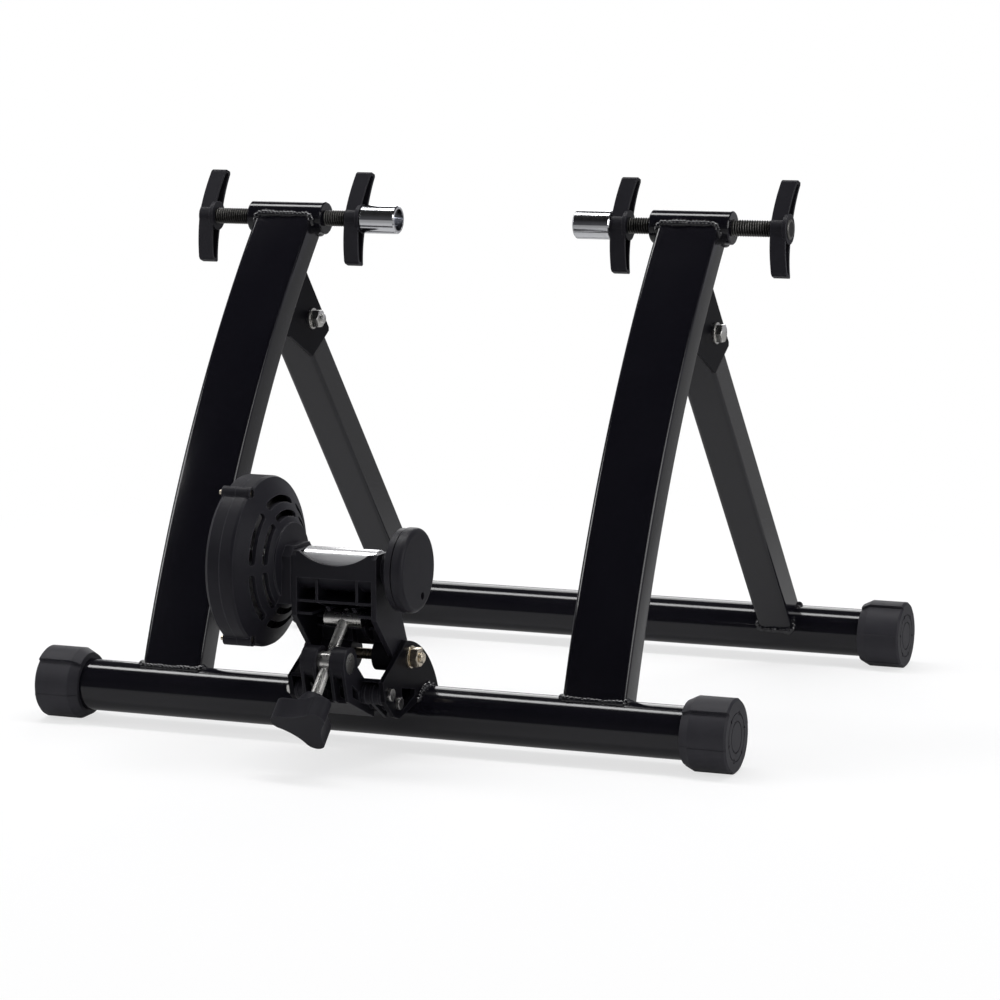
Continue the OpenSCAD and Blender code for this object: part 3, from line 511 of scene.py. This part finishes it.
def turned_rings(shade, axis, scale):
    """Noise that changes only with the distance from an axis, as the marks of a lathe do."""
    away = round_axis(shade, shade.node("TexCoord", out="Object"), axis)
    return shade.node("TexNoise", {"noise_dimensions": "1D"},
                      {"W": away, "Scale": scale, "Detail": 1.0})


roller_axis = tuple(float(v) for v in box_middle("roller")[1:])
fly_paint, shade = new_material("flywheel paint")
cloud = noise(shade, shade.node("TexCoord", out="Object"), 40, 3)
rings = turned_rings(shade, roller_axis, 900)
paint = blend_colour(shade, cloud, (0.0115, 0.011, 0.014), (0.017, 0.0165, 0.021))
surface_finish(shade, Base_Color=paint, Roughness=0.38 + cloud * 0.12, Specular_IOR_Level=0.2,
               Normal=relief(shade, rings, 0.06, 0.0003, 0.0006))
dress(["flywheel"], fly_paint)


# Roller, shaft and bearings: ground steel with the fine turning marks of a centreless grinder.
# The marks run round the roller, so the highlight stays a clean band along it.
def turning_marks(shade, place, scale, detail, spread):
    """Noise drawn out round the X axis, so that it reads as fine lines round a turned piece."""
    drawn = shade.node("VectorMath", {"operation": "MULTIPLY"}, {0: place, 1: (1, spread, spread)})
    return noise(shade, drawn, scale, detail)


ground_steel, shade = new_material("ground steel")
place = shade.node("TexCoord", out="Object")
lines = turning_marks(shade, place, 2400, 2, 0.02)
haze = noise(shade, place, 45, 3)
surface_finish(shade, Base_Color=(0.94, 0.94, 0.95, 1), Metallic=0.66,
               Roughness=0.18 + haze * 0.10,
               Normal=relief(shade, lines, 0.04, 0.0002, 0.0004))
dress(["roller", "roller_shaft", "roller_bearings"], ground_steel)


# Rotor disc and its magnets: a turned aluminium disc in front of nickel plated magnets.
# Only small glints of the disc show through the vents.
turned_alloy, shade = new_material("turned aluminium")
rings = turned_rings(shade, roller_axis, 1500)
surface_finish(shade, Base_Color=(0.42, 0.42, 0.43, 1), Metallic=1.0,
               Roughness=0.24 + rings * 0.12, Normal=relief(shade, rings, 0.2, 0.0002))
dress(["rotor_disc"], turned_alloy)

nickel, shade = new_material("nickel plate")
haze = noise(shade, shade.node("TexCoord", out="Object"), 80, 3)
surface_finish(shade, Base_Color=(0.50, 0.49, 0.46, 1), Metallic=1.0, Roughness=0.25 + haze * 0.15)
dress(["magnets", "magnet_plate"], nickel)


# Small steel parts: washers, nuts, screws and cross barrels under a thin coat of zinc.
# Zinc is slightly cloudy and warm, never as sharp as chrome, and yellow on the tilting axis.
def zinc_plate(name, dull, bright):
    """Zinc over steel, from its dull to its bright colour in small clouds."""
    made, shade = new_material(name)
    cloud = noise(shade, shade.node("TexCoord", out="Object"), 220, 4, 0.6)
    surface_finish(shade, Base_Color=blend_colour(shade, cloud, dull, bright), Metallic=1.0,
                   Roughness=0.24 + cloud * 0.08,
                   Normal=relief(shade, cloud, 0.03, 0.0002, 0.0005))
    return made


zinc = zinc_plate("bright zinc", (0.70, 0.69, 0.67), (0.86, 0.85, 0.82))
yellow_zinc = zinc_plate("yellow zinc", (0.66, 0.57, 0.43), (0.86, 0.79, 0.66))
dress(["fold_washers", "cradle_screws", "cradle_nuts", "rotor_nut", "trunnion_barrel",
       "upper_barrel"], zinc)
dress(["pivot_washers", "cover_screws"], yellow_zinc)


# Fold bolts and nuts: cold headed M8 bolts through the fold brackets, with rolled threads.
# Heads face out, and each nut stands on the inner side, all chamfered at 13 mm across flats.
def threaded_rod(start, end, radius, pitch, depth, before=(), around=32, rows=8):
    """r(x, a) = R - depth |2 frac(x / pitch - a / 2 pi) - 1| round the line from start to end.

    The pairs in before are the distance and radius of plain rings in front of the thread.
    """
    start = np.array(start, dtype=float)
    line = np.array(end, dtype=float) - start
    length = np.linalg.norm(line)
    line = line / length
    side = np.cross(line, [0, 0, 1] if abs(line[2]) < 0.9 else [1, 0, 0])
    side = side / np.linalg.norm(side)
    up = np.cross(line, side)
    first = before[-1][0] if before else 0.0
    walked = np.linspace(first + 0.2 * depth, length - 0.7 * depth,
                         int((length - first) / pitch * rows))[:, None]
    angle = np.linspace(0, 2 * np.pi, around, endpoint=False)[None, :]
    wave = 2 * ((walked / pitch - angle / (2 * np.pi)) % 1) - 1
    size = radius - depth * np.abs(wave)
    plain = np.array([*before, (first, radius - depth)])
    last = np.array([(length, radius - 1.2 * depth)])
    walked = np.concatenate([plain[:, :1], walked, last[:, :1]])
    size = np.concatenate([np.repeat(plain[:, 1:], around, axis=1), size,
                           np.repeat(last[:, 1:], around, axis=1)])
    return (start + walked[:, :, None] * line + size[:, :, None]
            * (np.cos(angle)[:, :, None] * side + np.sin(angle)[:, :, None] * up))


def hexagon(inner, outer, flats, axis, both=True, around=96, chamfer=0.0007):
    """r(x, a) = min(flats / 2 / cos(a mod 60 degrees), cone(x)), along X from inner to outer.

    The cone cuts the corners at the outer face, and at the inner one too where both is set.
    """
    angle = np.linspace(0, 2 * np.pi, around, endpoint=False)
    flat = flats / 2 / np.cos((angle + np.pi / 6) % (np.pi / 3) - np.pi / 6)
    depth = np.concatenate([np.linspace(0, chamfer, 5), [chamfer * 2]])
    length = abs(outer - inner)
    walked = np.concatenate([depth if both else [0.0], length - depth[::-1]])
    from_face = np.minimum(walked if both else length, length - walked)
    cone = flats / 2 * 0.955 + 1.9 * from_face
    size = np.minimum(flat[None, :], cone[:, None])
    x = inner + np.sign(outer - inner) * walked
    return np.stack([np.broadcast_to(x[:, None], size.shape), axis[0] + size * np.sin(angle),
                     axis[1] + size * np.cos(angle)], axis=-1)


bolt_flats = 0.013
bolt_radius = 0.004
bolt_pitch = 0.00125
bolt_thread_depth = 0.0006
head_height = 0.0054
nut_height = 0.0066
tip_length = 0.0025
leg_x = box_middle("rear_leg_right")[0]
bolt_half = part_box("fold_bolts")[1][0] - leg_x
bolts, nuts = [], []
for sign in (-1, 1):
    head_out = sign * (leg_x + bolt_half)
    head_in = head_out - sign * head_height
    nut_out = sign * (leg_x - bolt_half + head_height - nut_height)
    nut_in = nut_out + sign * nut_height
    bolts.append(hexagon(head_in, head_out, bolt_flats, fold_axis, both=False))
    bolts.append(threaded_rod((head_in, *fold_axis), (nut_out - sign * tip_length, *fold_axis),
                              bolt_radius, bolt_pitch, bolt_thread_depth))
    nuts.append(hexagon(nut_in, nut_out, bolt_flats, fold_axis))
for name, runs, node in (("hex_fold_bolts", bolts, "fold_bolts"),
                         ("hex_fold_nuts", nuts, "fold_nuts")):
    piece = ring_surface(name, runs, zinc)
    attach(piece, "base_frame")
    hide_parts(node)


# Pivot bolt and nut: one long M8 bolt through the bracket's ears, the cradle and the carrier.
# The roller unit tilts on it, and it is plated yellow.
pivot_axis = box_middle("pivot_bolt")[1:]
pivot_low, pivot_high = (corner[0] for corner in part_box("pivot_bolt"))
nut_low, nut_high = (corner[0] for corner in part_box("pivot_nut"))
head_in = pivot_low + head_height
pivot_bolt = [hexagon(head_in, pivot_low, bolt_flats, pivot_axis, both=False),
              threaded_rod((head_in, *pivot_axis), (pivot_high, *pivot_axis), bolt_radius,
                           bolt_pitch, bolt_thread_depth)]
pivot_nut = [hexagon(nut_low, nut_high, bolt_flats, pivot_axis)]
for name, runs, node in (("hex_pivot_bolt", pivot_bolt, "pivot_bolt"),
                         ("hex_pivot_nut", pivot_nut, "pivot_nut")):
    piece = ring_surface(name, runs, yellow_zinc)
    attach(piece, "base_frame")
    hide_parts(node)


# Axle cups: turned steel sleeves, polished and chromed, that hold the axle nuts.
# Fine turning marks stay under the plating.
chrome, shade = new_material("chrome plate")
lines = turning_marks(shade, shade.node("TexCoord", out="Object"), 1500, 1, 0.03)
surface_finish(shade, Base_Color=(0.86, 0.87, 0.90, 1), Metallic=1.0,
               Roughness=0.10 + lines * 0.08,
               Normal=relief(shade, lines, 0.03, 0.0001, 0.0005))
dress(["axle_cup_left", "axle_cup_right"], chrome)


# Spindles: half inch steel rod with a rolled thread of 13 turns an inch and a plain journal.
# The grooves are painted dark as shade, and only the ridges show the worn steel colour.
groove_shaded_thread, shade = new_material("thread with painted groove shade")
place = shade.node("TexCoord", out="Object")
worn = noise(shade, place, 300, 4, 0.6)
# Darker towards the root of the thread: painted shade in the grooves.
crest = ramp(shade, round_axis(shade, place, tuple(clamp_axis)), 0.0053, 0.0062, 0.0, 1.0)
bright = blend_colour(shade, worn, (0.13, 0.127, 0.122), (0.26, 0.255, 0.245))
surface_finish(shade, Base_Color=blend_colour(shade, crest, (0.02, 0.019, 0.018), bright),
               Metallic=1.0, Roughness=0.34 + worn * 0.2)
dress(["handle_nut", "fold_bushes"], groove_shaded_thread)

spindle_radius = 0.00635
spindle_pitch = 0.001954
spindle_thread_depth = 0.00125
journal_radius = 0.005
journal_end = 0.1039
for side, sign in (("left", -1), ("right", 1)):
    low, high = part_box("spindle_" + side)
    inner, outer = (low[0], high[0]) if sign > 0 else (high[0], low[0])
    journal = ((0, 0.0045), (0.0005, journal_radius),
               (abs(journal_end - abs(inner)), journal_radius))
    spindle = ring_surface("threaded_spindle_" + side, [threaded_rod(
        (inner, *clamp_axis), (outer, *clamp_axis), spindle_radius, spindle_pitch,
        spindle_thread_depth, before=journal)], groove_shaded_thread)
    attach(spindle, "screw_" + side)
    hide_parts("spindle_" + side)


# Tension screw: a zinc plated M8 rod that the knob turns through the two cross barrels.
# Its rolled thread runs over the whole length, with a chamfer at the free end.
upper_axis = box_middle("upper_barrel")[1:]
screw_line = np.array([-0.7263, -0.6874])
screw_above = 0.0065
screw_below = 0.088
screw_thread_depth = 0.00055
screw = ring_surface("threaded_tension_screw", [threaded_rod(
    (0, *(upper_axis - screw_above * screw_line)), (0, *(upper_axis + screw_below * screw_line)),
    bolt_radius, bolt_pitch, screw_thread_depth, before=((0, 0.0030), (0.0008, 0.0035)))], zinc)
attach(screw, "tensioner")
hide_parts("tension_screw")
